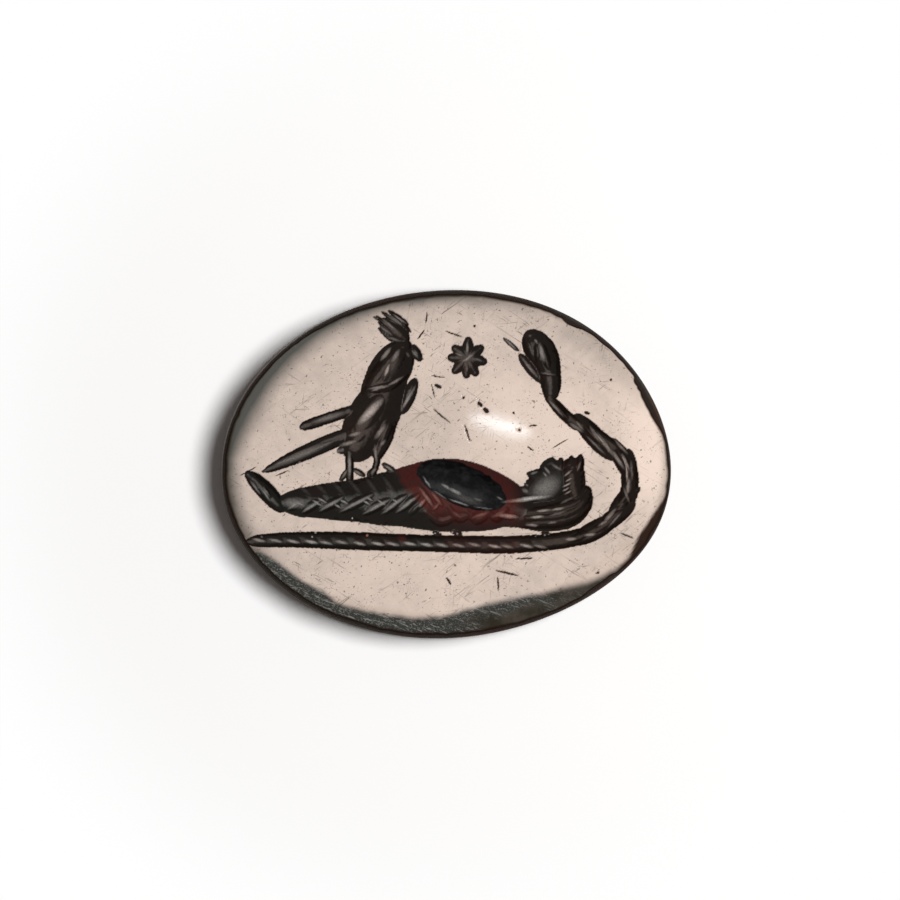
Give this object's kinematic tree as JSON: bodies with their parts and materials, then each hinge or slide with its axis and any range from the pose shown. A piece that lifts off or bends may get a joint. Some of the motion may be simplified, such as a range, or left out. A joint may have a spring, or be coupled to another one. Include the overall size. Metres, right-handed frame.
{
  "type": "engraved ringstone",
  "caption": "Oval hardstone gem, dark green and red jasper, engraved in hollow relief with a bird on a lying mummy, a star and a rearing serpent, for a ring or box setting.",
  "frame": {"origin": "centre of the flat back, at its surface", "axes": "+X along the long axis towards the serpent's side, +Y across the stone towards the bird and the star, +Z out of the engraved face"},
  "size_m": [0.02, 0.0155, 0.0035],
  "materials": {
    "jasper": "polished"
  },
  "bodies": {
    "root": {"engraved_stone": "jasper"}
  },
  "joints": []
}
